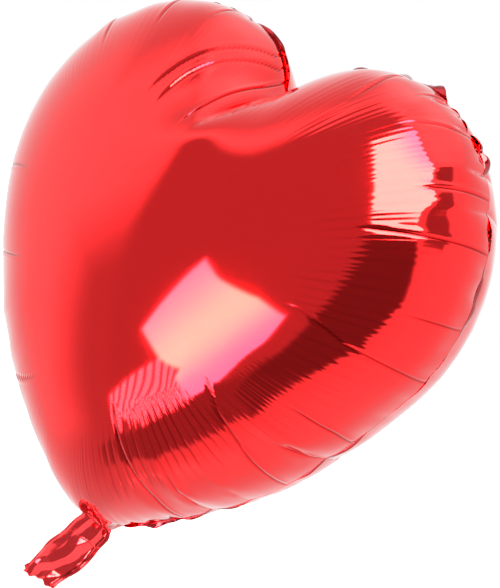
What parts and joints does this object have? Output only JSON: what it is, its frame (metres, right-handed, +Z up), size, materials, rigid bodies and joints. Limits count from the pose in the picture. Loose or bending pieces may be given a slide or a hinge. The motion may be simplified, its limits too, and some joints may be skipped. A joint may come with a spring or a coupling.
{
  "type": "heart-shaped foil balloon",
  "caption": "Inflated heart-shaped metallised film balloon: two pleated film panels sealed round a margin, an inner self-sealing valve and a folding inflation tail.",
  "frame": {"origin": "the tie point at the neck, where the heart runs into its inflation tail", "axes": "+Z up from the neck to the notch between the lobes, X across the lobes, Y through the depth, and the front film faces -Y"},
  "size_m": [0.3572, 0.216, 0.4107],
  "materials": {
    "red_foil": "mirror-bright red metallised film",
    "sealed_margin": "heat-sealed double film, slightly paler and duller than the panels",
    "tail_foil": "mirror-bright red metallised film, creased",
    "valve_film": "thin clear film"
  },
  "bodies": {
    "envelope": {"front_panel": "red_foil", "back_panel": "red_foil", "seam_margin": "sealed_margin", "valve_front_ply": "valve_film", "valve_back_ply": "valve_film"},
    "tail_upper": {"tail_upper_front_ply": "tail_foil", "tail_upper_back_ply": "tail_foil"},
    "tail_lower": {"tail_lower_front_ply": "tail_foil", "tail_lower_back_ply": "tail_foil"}
  },
  "joints": [
    {"name": "neck_fold", "type": "hinge", "parent": "envelope", "child": "tail_upper", "pos_m": [0, 0, 0], "axis": [1, 0, 0], "range_deg": [-60, 60]},
    {"name": "tail_curl", "type": "hinge", "parent": "tail_upper", "child": "tail_lower", "pos_m": [0, -0.0067, -0.026], "axis": [1, 0, 0], "range_deg": [-55, 55]}
  ]
}
